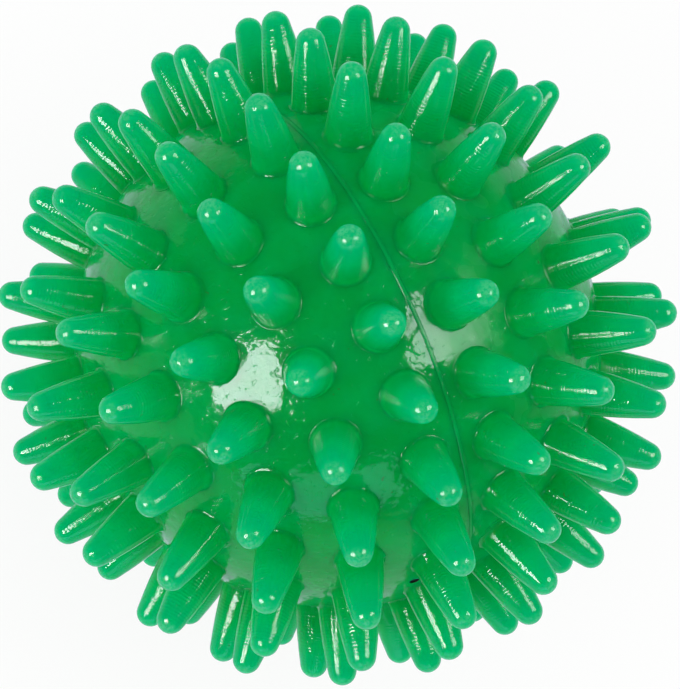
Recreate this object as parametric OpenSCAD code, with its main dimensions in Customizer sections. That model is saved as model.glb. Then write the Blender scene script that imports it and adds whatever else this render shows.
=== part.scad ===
// Spiky sensory ball: a soft, hollow, air-filled ball of two welded halves, with rows of
// round-tipped spikes all over it and a needle valve inside its wall.
// Lengths are in millimetres and angles in degrees.
// The origin is the middle of the ball. +X runs along the mould axis to the right half,
// the seam lies in the YZ plane, and +Z is up, with the ball resting on its two middle rows.

/* [Ball] */
// Diameter of the hollow ball without its spikes
shell_d = 69.4; // [60:0.2:100]
// Thickness of the soft wall
wall = 1.8; // [1.2:0.1:3]
// Width of the weld bead along the seam
bead_w = 0.9; // [0.6:0.1:1.4]
// Height of the weld bead above the ball
bead_h = 0.3; // [0.15:0.05:0.4]

/* [Spikes] */
// Height of a spike above the ball
spike_h = 10.3; // [6:0.1:15]
// Diameter of a spike at its root
spike_root_d = 6.1; // [4:0.1:7]
// Diameter of a spike's round tip
spike_tip_d = 3.7; // [2:0.1:3.9]
// Radius of the gentle swell along a spike's side
flank_r = 66; // [40:1:400]
// Angle from the seam to the first row on each side
first_row_angle = 8; // [7:0.5:9]

/* [Valve] */
// Diameter of the hole that takes an inflating needle
needle_hole_d = 1.1; // [0.6:0.1:1.6]
// Angle from the seam to the needle hole, on the left half
valve_angle = 12; // [9:0.5:13]
// Diameter of the flange that is bonded inside the wall
flange_d = 9; // [7.5:0.1:12]
// Thickness of the flange at its middle
flange_t = 1.4; // [1:0.1:2]
// Diameter of the stem below the flange
stem_d = 6; // [5.4:0.1:7]
// Length of the stem below the flange
stem_l = 6.8; // [5:0.1:10]
// Diameter of the air chamber at the stem's inner end
chamber_d = 2.6; // [2:0.1:3]
// Length of the air chamber
chamber_l = 3; // [2:0.1:4]
// Length of a valve lip from its hinge bead to the slit
lip_l = 2; // [1.6:0.1:2.2]
// Width of a valve lip, along the slit
lip_w = 3.2; // [2.8:0.1:3.6]
// Thickness of a valve lip
lip_t = 0.8; // [0.5:0.1:0.9]
// Diameter of the bead on which a valve lip bends
lip_bead_d = 1; // [1:0.1:1.4]

/* [Clearances] */
// Gap between a spike's root, or the weld bead, and the ball
seat_gap = 0.03; // [0.01:0.01:0.1]
// Gap between the valve's flange and the inside of the wall
bond_gap = 0.03; // [0.01:0.01:0.1]
// Gap between a lip's bead and the end of the stem
lip_gap = 0.05; // [0.02:0.01:0.1]
// Least gap between the two lips as they swing
slit_gap = 0.02; // [0.01:0.01:0.1]

/* [Hidden] */
$fn = 64;

// Sides of the seam, as the sign of X
left = -1;
right = 1;

// Spikes in each row, from the seam to the pole
row_counts = [24, 21, 18, 12, 6, 1];
// Where each row's first spike stands, in spike pitches of that row round the mould axis from +Z
left_turn_shares = [0.44, 0.55, 0.83, 0.9, 0.42, 0];
right_turn_shares = [0.56, 0, 0.59, 0.39, 0.2, 0];
// The needle hole lies in this gap of the left first row, at this share of the gap
valve_gap_number = 4;
valve_turn_share = 0.56;

pole_angle = 90;
row_pitch = (pole_angle - first_row_angle) / (len(row_counts) - 1);

shell_r = shell_d / 2;
inner_r = shell_r - wall;
// One overrun serves all cuts
overrun = wall / 2;
// Side of the block that takes away one half of the ball
half_block = 2 * (shell_r + overrun);

root_r = spike_root_d / 2;
tip_r = spike_tip_d / 2;
// Distance of a tip's centre from the middle of the ball
tip_z = shell_r + spike_h - tip_r;
// The side is an arc that goes through the root and runs smoothly into the tip at this angle
tip_reach = norm([root_r, tip_z - shell_r]);
flank_lead = flank_r - tip_r;
flank_cos = (2 * flank_lead * tip_r + tip_r * tip_r - tip_reach * tip_reach) / (2 * flank_lead * tip_reach);
flank_angle = acos(flank_cos) - atan2(tip_z - shell_r, root_r);
flank_x = -flank_lead * cos(flank_angle);
flank_z = tip_z - flank_lead * sin(flank_angle);
// How far the side goes below the ball's surface before its seat is cut
root_sink = root_r * root_r / shell_r;
foot_z = shell_r - root_sink;
foot_angle = asin((foot_z - flank_z) / flank_r);
flank_steps = 4;
tip_steps = 8;

// Radius of the bead's round section, and how deep its centre lies in the wall
bead_r = (bead_w * bead_w / 4 + bead_h * bead_h) / (2 * bead_h);
bead_depth = bead_r - bead_h;
// Half of the arc that stands clear of the ball, in as many steps on each side
bead_half_arc = acos((bead_depth + seat_gap) / bead_r);
bead_steps = 4;

valve_turn = (valve_gap_number + left_turn_shares[0] + valve_turn_share) * 360 / row_counts[0];
// Levels along the valve's axis, as distances from the middle of the ball
flange_z = inner_r - flange_t;
stem_z = flange_z - stem_l;
bore_z = stem_z + chamber_l;
lip_z = stem_z - lip_gap - lip_bead_d / 2;
// Slit between the closed lips, wide enough for their corners to pass each other
slit_w = 2 * (norm([lip_l, lip_t / 2]) - lip_l) + slit_gap;
lip_hinge_y = slit_w / 2 + lip_l;

shell_green = [0, 0.55, 0.26];
spike_green = [0, 0.67, 0.35];
bead_green = [0.05, 0.62, 0.32];
valve_grey = [0.2, 0.22, 0.21];

// Carries what stands on +Z to its angle from the seam and its turn round the mould axis
module place(side, angle, turn) {
    rotate([turn, 0, 0])
        rotate([0, side * angle, 0])
            children();
}

// One spike on +Z: a slim swelling finger with a round tip, its root cut to the ball
module spike() {
    flank = [
        for (i = [0 : flank_steps - 1])
            let (a = foot_angle + (flank_angle - foot_angle) * i / flank_steps)
                [flank_x + flank_r * cos(a), flank_z + flank_r * sin(a)]
    ];
    dome = [
        for (i = [0 : tip_steps])
            let (a = flank_angle + (90 - flank_angle) * i / tip_steps)
                [tip_r * cos(a), tip_z + tip_r * sin(a)]
    ];
    difference() {
        rotate_extrude()
            polygon(concat([[0, foot_z]], flank, dome));
        sphere(r = shell_r + seat_gap);
    }
}

// A ring of equal spikes, row 0 next to the seam
module spike_row(side, row, turn_shares) {
    pitch = 360 / row_counts[row];
    angle = first_row_angle + row_pitch * row;
    color(spike_green)
        for (i = [0 : row_counts[row] - 1])
            place(side, angle, pitch * (i + turn_shares[row]))
                spike();
}

// Half of the hollow ball, open at the seam
module half_shell(side) {
    difference() {
        sphere(r = shell_r);
        sphere(r = inner_r);
        translate([-side * half_block / 2, 0, 0])
            cube(half_block, center = true);
    }
}

// Carries the valve from +Z to its place on the left half
module place_valve() {
    place(left, valve_angle, valve_turn)
        children();
}

// The straight hole for the needle, from the air chamber out through the wall
module needle_bore() {
    translate([0, 0, bore_z - overrun])
        cylinder(d = needle_hole_d, h = shell_r - bore_z + 2 * overrun);
}

module left_half_shell() {
    color(shell_green)
        difference() {
            half_shell(left);
            place_valve()
                needle_bore();
        }
}

module right_half_shell() {
    color(shell_green)
        half_shell(right);
}

// Raised round line where the two halves are welded
module seam_bead() {
    arc = [
        for (i = [-bead_steps : bead_steps])
            let (a = bead_half_arc * i / bead_steps)
                [shell_r - bead_depth + bead_r * cos(a), bead_r * sin(a)]
    ];
    color(bead_green)
        rotate([0, 90, 0])
            rotate_extrude()
                polygon(arc);
}

// Flange and stem of the needle valve, bonded inside the wall, with the bore and the air chamber
module valve_stem() {
    color(valve_grey)
        place_valve()
            difference() {
                intersection() {
                    union() {
                        translate([0, 0, flange_z])
                            cylinder(d = flange_d, h = flange_t + overrun);
                        translate([0, 0, stem_z])
                            cylinder(d = stem_d, h = stem_l + flange_t / 2);
                    }
                    sphere(r = inner_r - bond_gap);
                }
                needle_bore();
                translate([0, 0, stem_z - overrun])
                    cylinder(d = chamber_d, h = chamber_l + overrun);
            }
}

// One lip of the slit that closes the chamber, with the bead on which it bends
module valve_lip() {
    translate([-lip_w / 2, slit_w / 2, lip_z - lip_t / 2])
        cube([lip_w, lip_l, lip_t]);
    translate([0, lip_hinge_y, lip_z])
        rotate([0, 90, 0])
            cylinder(d = lip_bead_d, h = lip_w, center = true);
}

module valve_lip_a() {
    color(valve_grey)
        place_valve()
            valve_lip();
}

module valve_lip_b() {
    color(valve_grey)
        place_valve()
            mirror([0, 1, 0])
                valve_lip();
}

left_half_shell();
right_half_shell();
seam_bead();
spike_row(left, 0, left_turn_shares);  // left_spike_row_1
spike_row(left, 1, left_turn_shares);  // left_spike_row_2
spike_row(left, 2, left_turn_shares);  // left_spike_row_3
spike_row(left, 3, left_turn_shares);  // left_spike_row_4
spike_row(left, 4, left_turn_shares);  // left_spike_row_5
spike_row(left, 5, left_turn_shares);  // left_pole_spike
spike_row(right, 0, right_turn_shares);  // right_spike_row_1
spike_row(right, 1, right_turn_shares);  // right_spike_row_2
spike_row(right, 2, right_turn_shares);  // right_spike_row_3
spike_row(right, 3, right_turn_shares);  // right_spike_row_4
spike_row(right, 4, right_turn_shares);  // right_spike_row_5
spike_row(right, 5, right_turn_shares);  // right_pole_spike
valve_stem();
valve_lip_a();
valve_lip_b();
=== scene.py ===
import math
import random

import bpy
from mathutils import Matrix, Quaternion, Vector


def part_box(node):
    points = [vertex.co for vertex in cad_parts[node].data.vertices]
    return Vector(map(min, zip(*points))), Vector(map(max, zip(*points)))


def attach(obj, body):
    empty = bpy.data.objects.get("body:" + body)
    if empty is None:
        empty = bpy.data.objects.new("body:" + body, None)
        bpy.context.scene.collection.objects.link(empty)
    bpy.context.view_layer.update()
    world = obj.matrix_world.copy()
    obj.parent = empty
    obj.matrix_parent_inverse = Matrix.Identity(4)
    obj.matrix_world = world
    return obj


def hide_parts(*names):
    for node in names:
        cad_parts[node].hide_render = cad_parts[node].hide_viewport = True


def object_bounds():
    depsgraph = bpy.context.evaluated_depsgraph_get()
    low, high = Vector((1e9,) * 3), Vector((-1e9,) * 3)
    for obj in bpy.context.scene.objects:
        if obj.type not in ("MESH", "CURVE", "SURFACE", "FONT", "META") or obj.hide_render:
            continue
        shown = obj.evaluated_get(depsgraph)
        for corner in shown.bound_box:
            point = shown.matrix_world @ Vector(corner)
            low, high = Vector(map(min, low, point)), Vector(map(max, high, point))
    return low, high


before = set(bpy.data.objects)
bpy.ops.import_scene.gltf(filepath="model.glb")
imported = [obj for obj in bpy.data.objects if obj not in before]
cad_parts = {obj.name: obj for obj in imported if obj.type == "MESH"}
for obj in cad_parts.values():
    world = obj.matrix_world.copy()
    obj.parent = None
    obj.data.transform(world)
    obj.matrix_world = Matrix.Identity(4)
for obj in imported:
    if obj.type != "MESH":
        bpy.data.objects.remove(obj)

cadBox = [[float(c) for c in corner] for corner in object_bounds()]

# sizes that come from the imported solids, in metres
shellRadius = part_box("left_half_shell")[1].z
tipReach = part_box("right_pole_spike")[1].x
spikeHeight = tipReach - shellRadius
floorLevel = cadBox[0][2]
print(f"ball {shellRadius * 2 * 1000:.1f} mm, spikes {spikeHeight * 1000:.1f} mm high")

white = (1, 1, 1, 1)
noiseMean = 0.5
fullTurn = 2 * math.pi


# small helpers

def paint(red, green, blue):
    # a colour as a screen shows it, 0 to 255, to the shader's own numbers
    def lit(value):
        value /= 255
        return value / 12.92 if value <= 0.04045 else ((value + 0.055) / 1.055) ** 2.4
    return (lit(red), lit(green), lit(blue), 1)


def pickOnly(*pieces):
    if bpy.context.mode != "OBJECT":
        bpy.ops.object.mode_set(mode="OBJECT")
    bpy.ops.object.select_all(action="DESELECT")
    for piece in pieces:
        piece.select_set(True)
    bpy.context.view_layer.objects.active = pieces[0] if pieces else None


def named(name):
    piece = bpy.context.object
    piece.name = name
    piece.data.name = name
    return piece


def settle(piece):
    # place, turn and scale go into the mesh
    pickOnly(piece)
    bpy.ops.object.transform_apply(location=True, rotation=True, scale=True)


def combine(piece, operation, tool):
    # the piece unites with a tool piece, or is cut by it, and the tool is used up
    pickOnly(piece)
    step = piece.modifiers.new(operation.lower(), "BOOLEAN")
    step.operation = operation
    step.solver = "MANIFOLD"
    step.material_mode = "TRANSFER"
    step.object = tool
    bpy.ops.object.modifier_apply(modifier=step.name)
    bpy.data.objects.remove(tool)


# shader maths

class Wire:
    # one output of a finish's nodes; sums and products on it add Math nodes
    def __init__(self, finish, socket):
        self.finish = finish
        self.socket = socket

    def maths(self, operation, first, second):
        return self.finish.node("ShaderNodeMath", {"operation": operation}, {0: first, 1: second})

    def __add__(self, other):
        return self.maths("ADD", self, other)

    def __radd__(self, other):
        return self.maths("ADD", other, self)

    def __sub__(self, other):
        return self.maths("SUBTRACT", self, other)

    def __rsub__(self, other):
        return self.maths("SUBTRACT", other, self)

    def __mul__(self, other):
        return self.maths("MULTIPLY", self, other)

    def __rmul__(self, other):
        return self.maths("MULTIPLY", other, self)

    def __truediv__(self, other):
        return self.maths("DIVIDE", self, other)

    def __rtruediv__(self, other):
        return self.maths("DIVIDE", other, self)


class Finish:
    # the nodes of a material, or of the room's light
    def __init__(self, owner):
        owner.use_nodes = True
        self.owner = owner
        self.tree = owner.node_tree
        self.tree.nodes.clear()

    def node(self, kind, settings=None, sockets=None, output=0):
        made = self.tree.nodes.new(kind)
        for name, value in (settings or {}).items():
            if name == "stops":
                ramp = made.color_ramp
                while len(ramp.elements) < len(value):
                    ramp.elements.new(1)
                for element, (position, colour) in zip(ramp.elements, value):
                    element.position = position
                    element.color = colour
            else:
                setattr(made, name, value)
        for key, value in (sockets or {}).items():
            if isinstance(value, Wire):
                self.tree.links.new(value.socket, made.inputs[key])
            else:
                made.inputs[key].default_value = value
        return Wire(self, made.outputs[output] if made.outputs else None)

    def place(self):
        return self.node("ShaderNodeTexCoord", output="Object")

    def across(self, vector):
        # how far to the right of the weld
        return self.node("ShaderNodeSeparateXYZ", {}, {0: vector}, "X")

    def distance(self, vector):
        return self.node("ShaderNodeVectorMath", {"operation": "LENGTH"}, {0: vector}, "Value")

    def noise(self, vector, size, detail, roughness=0.5):
        # size is that of one blotch, in metres
        return self.node("ShaderNodeTexNoise", {}, {
            "Vector": vector, "Scale": 1 / size, "Detail": detail, "Roughness": roughness})

    def between(self, value, low, high, toLow=0.0, toHigh=1.0):
        return self.node("ShaderNodeMapRange", {"interpolation_type": "SMOOTHSTEP"}, {
            0: value, 1: low, 2: high, 3: toLow, 4: toHigh})

    def sine(self, value):
        return self.node("ShaderNodeMath", {"operation": "SINE"}, {0: value})

    def tint(self, share, first, second, blend="MIX"):
        return self.node("ShaderNodeMix", {"data_type": "RGBA", "blend_type": blend}, {
            0: share, 6: first, 7: second}, 2)

    def bump(self, height):
        # the height is in metres
        return self.node("ShaderNodeBump", {}, {"Height": height, "Distance": 1.0, "Strength": 1.0})

    def output(self, shader):
        isRoom = isinstance(self.owner, bpy.types.World)
        kind = "ShaderNodeOutputWorld" if isRoom else "ShaderNodeOutputMaterial"
        self.node(kind, {}, {"Surface": shader})
        return self.owner


# camera: seen from above, a little to the left, with the head tilted

cameraView = {
    "azimuth": -70.0,
    "elevation": 71.83,
    "roll": 45.0,
    "distance": 0.3873,
    "lens": 152.7,
    "sensor": 36,
    "shift": (0.0045, 0.0003),
    "clip": (0.01, 50),
}


def makeCamera(values):
    turn, rise = math.radians(values["azimuth"]), math.radians(values["elevation"])
    back = Vector((
        math.sin(turn) * math.cos(rise), -math.cos(turn) * math.cos(rise), math.sin(rise)))
    lens = bpy.data.cameras.new("camera")
    lens.lens = values["lens"]
    lens.sensor_width = values["sensor"]
    lens.shift_x, lens.shift_y = values["shift"]
    lens.clip_start, lens.clip_end = values["clip"]
    made = bpy.data.objects.new("camera", lens)
    made.rotation_mode = "QUATERNION"
    made.rotation_quaternion = (
        (-back).to_track_quat("-Z", "Y") @ Quaternion((0, 0, 1), math.radians(values["roll"])))
    made.location = back * values["distance"]
    bpy.context.scene.collection.objects.link(made)
    bpy.context.scene.camera = made
    return made


camera = makeCamera(cameraView)
print("camera placed")


# finishes; a noise is its size, detail and roughness, and a span is where something
# begins and is full, with the two amounts where they aren't 0 and 1

vinyl = {
    "name": "greenVinyl",
    "shell": (0, 162, 69),
    # painted light and shade: the spike's colour runs from a darker, yellower green at the root,
    # standing in for shade, to a lighter, bluer green higher up, standing in for light glowing
    # through the thin vinyl
    "spike": (                          # share of its height, colour
        (0.06, (0, 172, 71)),
        (0.33, (0, 175, 87)),
        (0.55, (0, 184, 104)),
        (0.78, (0, 177, 112)),
        (1.0, (0, 168, 110))),
    "sideSpan": (0.03, 0.14),           # shares of a spike's height
    "tipSpan": (0.7, 0.98),
    "rightSpan": (0, 0.004),            # metres to the right of the weld

    "cloud": (0, 187, 108),
    "cloudNoise": (0.006, 3),
    "cloudSpan": (0.35, 0.7, 0, 0.25),
    "pale": (88, 182, 134),             # worn caps of the tips
    "paleShare": 0.6,
    "capSpan": (0.9, 0.985),
    "patchNoise": (0.0016, 2),
    "patchSpan": (0.36, 0.58, 0.15, 1.0),
    "frostNoise": (0.0004, 4, 0.7),
    "frostSpan": (0.36, 0.62),
    "speck": (70, 95, 40),
    "speckShare": 0.5,
    "speckNoise": (0.0011, 2, 0.6),
    "speckSpan": (0.72, 0.78),

    "ringPitch": 0.00044,               # fine turning marks along a spike
    "ringDepth": 0.000013,
    "ringDrift": 5,
    "ringNoise": (0.0012, 2),
    "ringSpan": (0.32, 0.68),
    "peelNoise": (0.0011, 2),           # the ball's uneven skin
    "peelDepth": 0.00004,
    "pitNoise": (0.0006, 1),
    "pitSpan": (0.26, 0.36),
    "pitDepth": 0.000022,
    "waveNoise": (0.002, 2),
    "waveDepth": 0.00011,
    "calmRight": 0.6,                   # the right half is this much smoother
    "grainNoise": (0.0003, 3, 0.7),
    "grainDepth": 0.0000015,
    "frostDepth": 0.000003,

    "shellRoughness": 0.06,
    "sideRoughness": 0.05,
    "tipRoughness": 0.06,
    "scuffNoise": (0.0016, 4, 0.6),
    "scuffRoughness": 0.06,
    "hazeNoise": (0.005, 2),            # the right half is duller in places
    "hazeSpan": (0.42, 0.62),
    "hazeRoughness": 0.28,

    "ior": 1.54,
    "shine": 0.14,
    "shineColour": (0.92, 0.96, 1.0, 1),
    "dullRoots": 0.85,                  # most roots are too dusty to shine
    "rootSpan": (0.002, 0.015),
    "rootEnd": (0.08, 0.2, 1.0, 0.0),
    "dustNoise": (0.0025, 2),
    "dustSpan": (0.4, 0.52),
    "glow": 1.0,
    "glowDepth": 0.0035,
    "glowColour": (0.3, 1.0, 0.7),
}
# the weld is too thin to glow
weldFinish = {**vinyl, "name": "weldVinyl", "shell": (0, 146, 66), "glow": 0.0}


def makeVinyl(values):
    skin = Finish(bpy.data.materials.new(values["name"]))
    place = skin.place()
    reach = skin.distance(place)
    share = (reach - shellRadius) / spikeHeight

    def noise(kind):
        return skin.noise(place, *values[kind + "Noise"])

    def spots(kind):
        return skin.between(noise(kind), *values[kind + "Span"])

    def along(span):
        return skin.between(share, *values[span])

    onSpike = along("sideSpan")
    atTip = along("tipSpan")
    rightHalf = skin.between(skin.across(place), *values["rightSpan"])

    # the colour up each spike is painted light and shade: darker and yellower at the root, lighter
    # and bluer higher up
    steps = ((0.0, values["shell"]),) + values["spike"]
    colour = skin.node("ShaderNodeValToRGB", {
        "stops": [(position, paint(*tone)) for position, tone in steps]}, {0: share})
    colour = skin.tint(spots("cloud"), colour, paint(*values["cloud"]))
    worn = spots("patch") * spots("frost") * along("capSpan") * values["paleShare"]
    colour = skin.tint(worn, colour, paint(*values["pale"]))
    colour = skin.tint(spots("speck") * values["speckShare"], colour, paint(*values["speck"]))

    roughness = (values["shellRoughness"] + (noise("scuff") - noiseMean) * values["scuffRoughness"]
                 + (1 - onSpike) * spots("haze") * rightHalf * values["hazeRoughness"]
                 + onSpike * (values["sideRoughness"] - values["shellRoughness"])
                 + atTip * (values["tipRoughness"] - values["sideRoughness"]))

    rings = skin.sine(
        reach * (fullTurn / values["ringPitch"]) + noise("ring") * values["ringDrift"])
    ringed = spots("ring") * onSpike * (1 - atTip)
    unevenSkin = (noise("peel") * values["peelDepth"]
                  + spots("pit") * values["pitDepth"]
                  + noise("wave") * values["waveDepth"])
    relief = skin.bump(
        rings * ringed * values["ringDepth"]
        + (1 - onSpike) * (1 - rightHalf * values["calmRight"]) * unevenSkin
        + noise("grain") * (values["grainDepth"] + atTip * values["frostDepth"]))

    def body(shine):
        return skin.node("ShaderNodeBsdfPrincipled", {}, {
            "Base Color": colour,
            "Roughness": roughness,
            "IOR": values["ior"],
            "Specular IOR Level": shine,
            "Specular Tint": values["shineColour"],
            "Subsurface Weight": values["glow"],
            "Subsurface Radius": values["glowColour"],
            "Subsurface Scale": values["glowDepth"],
            "Normal": relief})

    dull = along("rootSpan") * along("rootEnd") * spots("dust") * values["dullRoots"]
    shader = skin.node("ShaderNodeMixShader", {}, {
        0: dull, 1: body(values["shine"]), 2: body(0.0)})
    return skin.output(shader)


rubber = {
    "dark": (7, 11, 7),
    "dusty": (27, 30, 26),
    "dustNoise": (0.0015, 4, 0.6),
    "dustSpan": (0.4, 0.8),
    "grainNoise": (0.00025, 3, 0.6),
    "grainDepth": 0.00002,
    "roughness": 0.6,
    "dustRoughness": 0.25,
    "shine": 0.15,
}


def makeRubber(values):
    soft = Finish(bpy.data.materials.new("valveRubber"))
    place = soft.place()
    dust = soft.between(soft.noise(place, *values["dustNoise"]), *values["dustSpan"])
    grain = soft.noise(place, *values["grainNoise"])
    shader = soft.node("ShaderNodeBsdfPrincipled", {}, {
        "Base Color": soft.tint(dust, paint(*values["dark"]), paint(*values["dusty"])),
        "Roughness": values["roughness"] + dust * values["dustRoughness"],
        "Specular IOR Level": values["shine"],
        "Normal": soft.bump(grain * values["grainDepth"])})
    return soft.output(shader)


greenVinyl = makeVinyl(vinyl)
weldVinyl = makeVinyl(weldFinish)
valveRubber = makeRubber(rubber)
print("finishes mixed")


# one spike, standing on +Z with its foot sunk in the wall

spike = {
    "rootWidth": 0.0061,
    "tipWidth": 0.0037,
    "swell": 0.066,            # radius of the side's gentle curve
    "rootFillet": 0.0007,
    "filletSink": 0.00006,     # the fillet dips this far under the ball's face
    "footDepth": 0.0006,
    "footShare": 0.97,         # the foot is a little slimmer than the fillet
    "sides": 24,
    "filletRings": 5,
    "sideRings": 4,
    "tipRings": 5,
    "lastStep": 0.5,           # from the last ring to the tip, in steps of the rings
}


def spikeProfile(values):
    # radius and height of each ring, from the foot to the tip
    root, tip, swell = values["rootWidth"] / 2, values["tipWidth"] / 2, values["swell"]
    tipCentre = tipReach - tip
    rise = tipCentre - shellRadius
    reach, lead = math.hypot(root, rise), swell - tip
    corner = math.acos((2 * lead * tip + tip ** 2 - reach ** 2) / (2 * lead * reach))
    bend = corner - math.atan2(rise, root)
    sideX, sideZ = -lead * math.cos(bend), tipCentre - lead * math.sin(bend)

    def sideRadius(level):
        return sideX + math.sqrt(swell ** 2 - (level - sideZ) ** 2)

    fillet = values["rootFillet"]
    ballReach = shellRadius - values["filletSink"] + fillet
    middleZ = math.sqrt(ballReach ** 2 - (root + fillet) ** 2)
    middleR = sideRadius(middleZ) + fillet
    lowest = math.atan2(-middleZ, -middleR) + fullTurn
    rings = []
    for i in range(values["filletRings"] + 1):
        angle = lowest + (math.pi - lowest) * i / values["filletRings"]
        rings.append((middleR + fillet * math.cos(angle), middleZ + fillet * math.sin(angle)))
    rings.insert(0, (rings[0][0] * values["footShare"], rings[0][1] - values["footDepth"]))
    topOfSide = tipCentre + tip * math.sin(bend)
    for i in range(1, values["sideRings"] + 1):
        level = middleZ + (topOfSide - middleZ) * i / values["sideRings"]
        rings.append((sideRadius(level), level))
    for i in range(1, values["tipRings"] + 1):
        angle = bend + (math.pi / 2 - bend) * i / (values["tipRings"] + values["lastStep"])
        rings.append((tip * math.cos(angle), tipCentre + tip * math.sin(angle)))
    rings.append((0, tipReach))
    return rings


def makeSpike(values):
    rings = spikeProfile(values)
    footRadius, footLevel = rings[0]
    pickOnly()
    bpy.ops.mesh.primitive_circle_add(
        vertices=values["sides"], radius=footRadius, fill_type="NGON", location=(0, 0, footLevel))
    made = named("spikeMaster")
    bpy.ops.object.mode_set(mode="EDIT")
    bpy.ops.mesh.select_all(action="SELECT")
    for (radius, level), (nextRadius, nextLevel) in zip(rings, rings[1:]):
        bpy.ops.mesh.extrude_region_move(
            TRANSFORM_OT_translate={"value": (0, 0, nextLevel - level)})
        if nextRadius:
            factor = nextRadius / radius
            bpy.ops.transform.resize(value=(factor, factor, 1))
        else:
            bpy.ops.mesh.merge(type="CENTER")
    bpy.ops.mesh.select_all(action="SELECT")
    bpy.ops.mesh.normals_make_consistent(inside=False)
    bpy.ops.object.mode_set(mode="OBJECT")
    settle(made)
    return made


spikeMaster = makeSpike(spike)
print("spike modelled:", len(spikeMaster.data.polygons), "faces")


# the two skins: half a hollow ball each, with its rows of spikes

skins = {
    "rowCounts": (24, 21, 18, 12, 6, 1),       # from the seam to the pole
    "firstRow": 8.0,                           # degrees from the seam
    "pole": 90.0,
    "leftTurns": (0.44, 0.55, 0.83, 0.9, 0.42, 0),
    "rightTurns": (0.56, 0, 0.59, 0.39, 0.2, 0),
    "wall": 0.0018,
    "ballSegments": 144,
    "ballRings": 72,
    "smoothAngle": 40.0,
    "faceTolerance": 0.00002,  # what lies this near the ball's face and looks
    "faceOutward": 0.8,        # this much outward belongs to it
    "lean": 1.3,               # degrees that a soft spike leans by itself
    "stretch": 0.012,
    "mostStretch": 1.03,
    "seed": 11,
}
needle = {
    "width": 0.0011,
    "angle": 12.0,             # degrees from the seam
    "turn": 75.0,
    "pinLength": 0.004,
    "sides": 24,
    "lip": 0.0002,             # depth of the hole's soft lip
    "flare": 1.2,
    "endFacing": 0.9,          # a face that looks this much along the pin is its end
}


def placement(side, angle, turn):
    # from +Z to an angle from the seam and a turn round the mould axis
    fromSeam = Matrix.Rotation(side * math.radians(angle), 4, "Y")
    return Matrix.Rotation(math.radians(turn), 4, "X") @ fromSeam


def makeBall(name, radius, values):
    pickOnly()
    bpy.ops.mesh.primitive_uv_sphere_add(
        segments=values["ballSegments"], ring_count=values["ballRings"], radius=radius,
        rotation=(0, math.pi / 2, 0))
    ball = named(name)
    settle(ball)
    ball.data.materials.append(greenVinyl)
    return ball


def plantSpikes(side, turns, values, chance):
    planted = []
    pitch = (values["pole"] - values["firstRow"]) / (len(values["rowCounts"]) - 1)
    root = Matrix.Translation((0, 0, shellRadius))
    for row, (count, share) in enumerate(zip(values["rowCounts"], turns)):
        for i in range(count):
            lean = math.radians(chance.gauss(0, values["lean"]))
            stretch = min(1 + chance.gauss(0, values["stretch"]), values["mostStretch"])
            way, spin = chance.uniform(0, fullTurn), chance.uniform(0, fullTurn)
            axis = Vector((math.cos(way), math.sin(way), 0))
            copy = spikeMaster.copy()
            copy.data = spikeMaster.data.copy()
            bpy.context.scene.collection.objects.link(copy)
            copy.matrix_world = (
                placement(side, values["firstRow"] + pitch * row, 360 / count * (i + share)) @ root
                @ Matrix.Rotation(lean, 4, axis) @ Matrix.Diagonal((1, 1, stretch, 1))
                @ root.inverted() @ Matrix.Rotation(spin, 4, "Z"))
            planted.append(copy)
    pickOnly(*planted)
    bpy.ops.object.join()
    rows = named("spikeRows")
    settle(rows)
    rows.data.materials.append(greenVinyl)
    return rows


def makeNeedleCutter(values):
    # a pin that widens where it leaves the wall, so that the hole has a soft lip
    pickOnly()
    pinEnd = shellRadius - values["lip"]
    bpy.ops.mesh.primitive_cylinder_add(
        vertices=values["sides"], radius=values["width"] / 2, depth=values["pinLength"],
        location=(0, 0, pinEnd - values["pinLength"] / 2))
    cutter = named("needleCutter")
    cutter.data.materials.append(valveRubber)     # the rubber behind the wall lines the hole
    settle(cutter)
    for face in cutter.data.polygons:
        face.select = face.normal.z > values["endFacing"]
    bpy.ops.object.mode_set(mode="EDIT")
    bpy.ops.mesh.extrude_region_move(
        TRANSFORM_OT_translate={"value": (0, 0, 2 * values["lip"])})
    bpy.ops.transform.resize(value=(values["flare"], values["flare"], 1))
    bpy.ops.object.mode_set(mode="OBJECT")
    cutter.data.transform(placement(-1, values["angle"], values["turn"]))
    return cutter


def smoothBall(skin, values):
    # the ball's own face shades as a true sphere, also where spikes grow out of it
    mesh = skin.data
    normals = [corner.vector.copy() for corner in mesh.corner_normals]
    for face in mesh.polygons:
        for corner in face.loop_indices:
            point = mesh.vertices[mesh.loops[corner].vertex_index].co
            outward = point.normalized()
            onBall = abs(point.length - shellRadius) < values["faceTolerance"]
            if onBall and face.normal.dot(outward) > values["faceOutward"]:
                normals[corner] = outward
    mesh.normals_split_custom_set(normals)


def makeSkin(name, side, turns, values):
    skin = makeBall(name, shellRadius, values)
    bpy.ops.object.mode_set(mode="EDIT")
    bpy.ops.mesh.select_all(action="SELECT")
    bpy.ops.mesh.bisect(
        plane_co=(0, 0, 0), plane_no=(side, 0, 0), use_fill=True, clear_inner=True)
    bpy.ops.object.mode_set(mode="OBJECT")
    chance = random.Random(values["seed"] + side)
    combine(skin, "UNION", plantSpikes(side, turns, values, chance))
    combine(skin, "DIFFERENCE", makeBall("hollow", shellRadius - values["wall"], values))
    if side < 0:
        combine(skin, "DIFFERENCE", makeNeedleCutter(needle))
    pickOnly(skin)
    bpy.ops.object.shade_smooth_by_angle(angle=math.radians(values["smoothAngle"]))
    smoothBall(skin, values)
    prefix = "left" if side < 0 else "right"
    rowNodes = [f"{prefix}_spike_row_{i}" for i in range(1, len(values["rowCounts"]))]
    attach(skin, "ball")
    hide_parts(prefix + "_half_shell", *rowNodes, prefix + "_pole_spike")
    print(name, "made:", len(skin.data.polygons), "faces")


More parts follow.
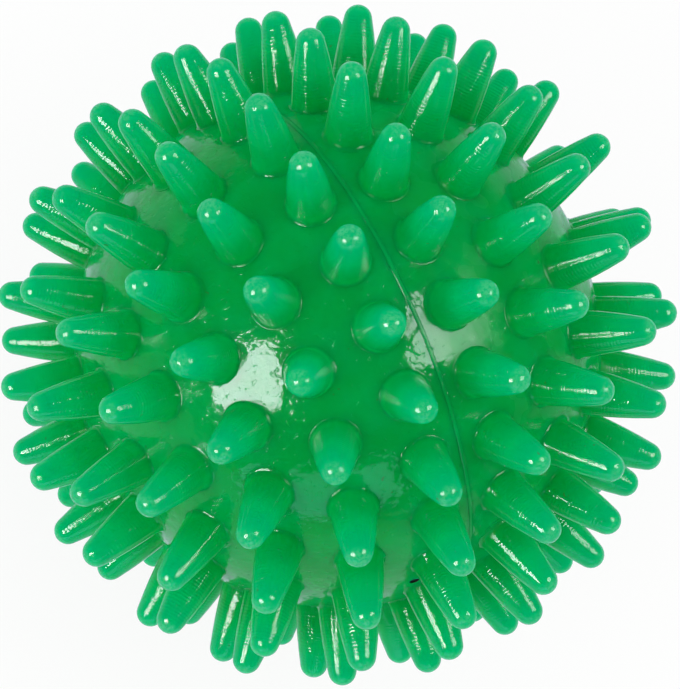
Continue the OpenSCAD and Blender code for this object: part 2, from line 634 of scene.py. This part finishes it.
makeSkin("leftSkin", -1, skins["leftTurns"], skins)
makeSkin("rightSkin", 1, skins["rightTurns"], skins)
bpy.data.objects.remove(spikeMaster)


# the weld line round the seam

weld = {
    "width": 0.0006,
    "height": 0.00024,
    "sunk": 0.00003,           # only the top of the bead stands clear
    "points": 16,
    "steps": 360,
    "mergeWithin": 0.00001,
    "ragged": 0.00001,
    "seed": 5,
    "smoothAngle": 60.0,
}


def makeWeld(values):
    pickOnly()
    bpy.ops.mesh.primitive_circle_add(
        vertices=values["points"], radius=values["width"] / 2, rotation=(math.pi / 2, 0, 0),
        location=(0, 0, shellRadius - values["sunk"]))
    line = named("weldLine")
    settle(line)
    bpy.ops.object.mode_set(mode="EDIT")
    bpy.ops.mesh.select_all(action="SELECT")
    bpy.ops.transform.resize(value=(1, 1, values["height"] / values["width"]))
    bpy.ops.mesh.spin(
        steps=values["steps"], angle=fullTurn, center=(0, 0, 0), axis=(1, 0, 0))
    bpy.ops.mesh.select_all(action="SELECT")
    bpy.ops.mesh.remove_doubles(threshold=values["mergeWithin"])
    bpy.ops.transform.vertex_random(offset=values["ragged"], seed=values["seed"])
    bpy.ops.mesh.normals_make_consistent(inside=False)
    bpy.ops.object.mode_set(mode="OBJECT")
    line.data.materials.append(weldVinyl)
    bpy.ops.object.shade_smooth_by_angle(angle=math.radians(values["smoothAngle"]))
    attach(line, "ball")
    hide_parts("seam_bead")
    print("weld line made:", len(line.data.polygons), "faces")


makeWeld(weld)


# the valve keeps its own solids

for name in ("valve_stem", "valve_lip_a", "valve_lip_b"):
    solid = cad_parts[name]
    solid.data.materials.clear()
    solid.data.materials.append(valveRubber)
print("valve finished")


# floor, lamps and the pale room

ground = {
    "size": 6.0,
    "ownColour": (0.92, 0.92, 0.92, 1),
    "shadowShare": 0.14,                  # how much of its own light and shade shows
    # painted pool of light: the floor shows white near the ball and fades to grey further off
    "nearColour": white,
    "farColour": (0.6, 0.6, 0.6, 1),
    "fadeSpan": (0.11, 0.4),
    "mirrored": (0.8, 0.78, 1.05, 1),     # it shines back cooler than it looks
}


def makeFloor(values):
    pickOnly()
    bpy.ops.mesh.primitive_plane_add(size=values["size"], location=(0, 0, floorLevel))
    floor = named("floor")
    settle(floor)
    paper = Finish(bpy.data.materials.new("paleFloor"))
    away = paper.distance(paper.place())
    # painted pool of light: white near the ball, fading to grey further off
    tone = paper.tint(
        paper.between(away, *values["fadeSpan"]), values["nearColour"], values["farColour"])
    byEye, byShine, throughGlass = (
        paper.node("ShaderNodeLightPath", output=name)
        for name in ("Is Camera Ray", "Is Glossy Ray", "Is Transmission Ray"))
    shown = paper.node("ShaderNodeClamp", {}, {0: byEye + byShine + throughGlass})
    own = paper.node("ShaderNodeBsdfDiffuse", {}, {
        "Color": paper.tint(1.0, tone, values["ownColour"], "MULTIPLY")})
    cast = paper.tint(byShine, white, values["mirrored"])
    pale = paper.node("ShaderNodeEmission", {}, {
        "Color": paper.tint(1.0, tone, cast, "MULTIPLY"), "Strength": 1.0})
    shader = paper.node("ShaderNodeMixShader", {}, {
        0: shown * (1 - values["shadowShare"]), 1: own, 2: pale})
    floor.data.materials.append(paper.output(shader))


# directions are as the camera sees them: right, up, towards it;
# each lamp has one power for light and shade, and one for what shines back

lamps = {
    "leftBox": {
        "direction": (-0.609, -0.216, 0.763),
        "size": (0.29, 0.25),
        "colour": (1, 1, 1),
        "powers": {"Light": 0.65, "Shine": 9.5}},
    "rightBox": {
        "direction": (0.71, 0.092, 0.698),
        "size": (0.29, 0.25),
        "colour": (1, 1, 1),
        "powers": {"Light": 0.3, "Shine": 4.9}},
    "window": {                # low in front, seen only in the shine
        "direction": (-0.1, -0.9, 0.4),
        "size": (0.62, 0.22),
        "colour": (0.28, 0.42, 0.75),
        "powers": {"Shine": 2.2}},
}
lampDistances = {"Light": 0.66, "Shine": 0.55}


def makeLamp(name, values):
    away = camera.rotation_quaternion @ Vector(values["direction"]).normalized()
    across = (camera.rotation_quaternion @ Vector((0, 1, 0))).cross(away).normalized()
    facing = Matrix((across, away.cross(across), away)).transposed().to_quaternion()
    for part, power in values["powers"].items():
        glow = bpy.data.lights.new(name + part, "AREA")
        glow.shape = "RECTANGLE"
        glow.size, glow.size_y = values["size"]
        glow.color = values["colour"]
        glow.energy = power
        lamp = bpy.data.objects.new(name + part, glow)
        lamp.location = away * lampDistances[part]
        lamp.rotation_mode = "QUATERNION"
        lamp.rotation_quaternion = facing
        lamp.visible_camera = False
        lamp.visible_glossy = part == "Shine"
        lamp.visible_diffuse = part == "Light"
        bpy.context.scene.collection.objects.link(lamp)


roomLevels = {"fill": 1.0, "shine": 0.05}


def makeRoom(values):
    # pale to the eye and as a soft light, but dim in the object's shine
    room = Finish(bpy.data.worlds.new("room"))
    byShine = room.node("ShaderNodeLightPath", output="Is Glossy Ray")
    level = values["fill"] + byShine * (values["shine"] - values["fill"])
    light = room.node("ShaderNodeBackground", {}, {"Color": white, "Strength": level})
    bpy.context.scene.world = room.output(light)


makeFloor(ground)
for name, values in lamps.items():
    makeLamp(name, values)
makeRoom(roomLevels)
bpy.context.scene.view_settings.view_transform = "Standard"
print("studio lit")

pickOnly()
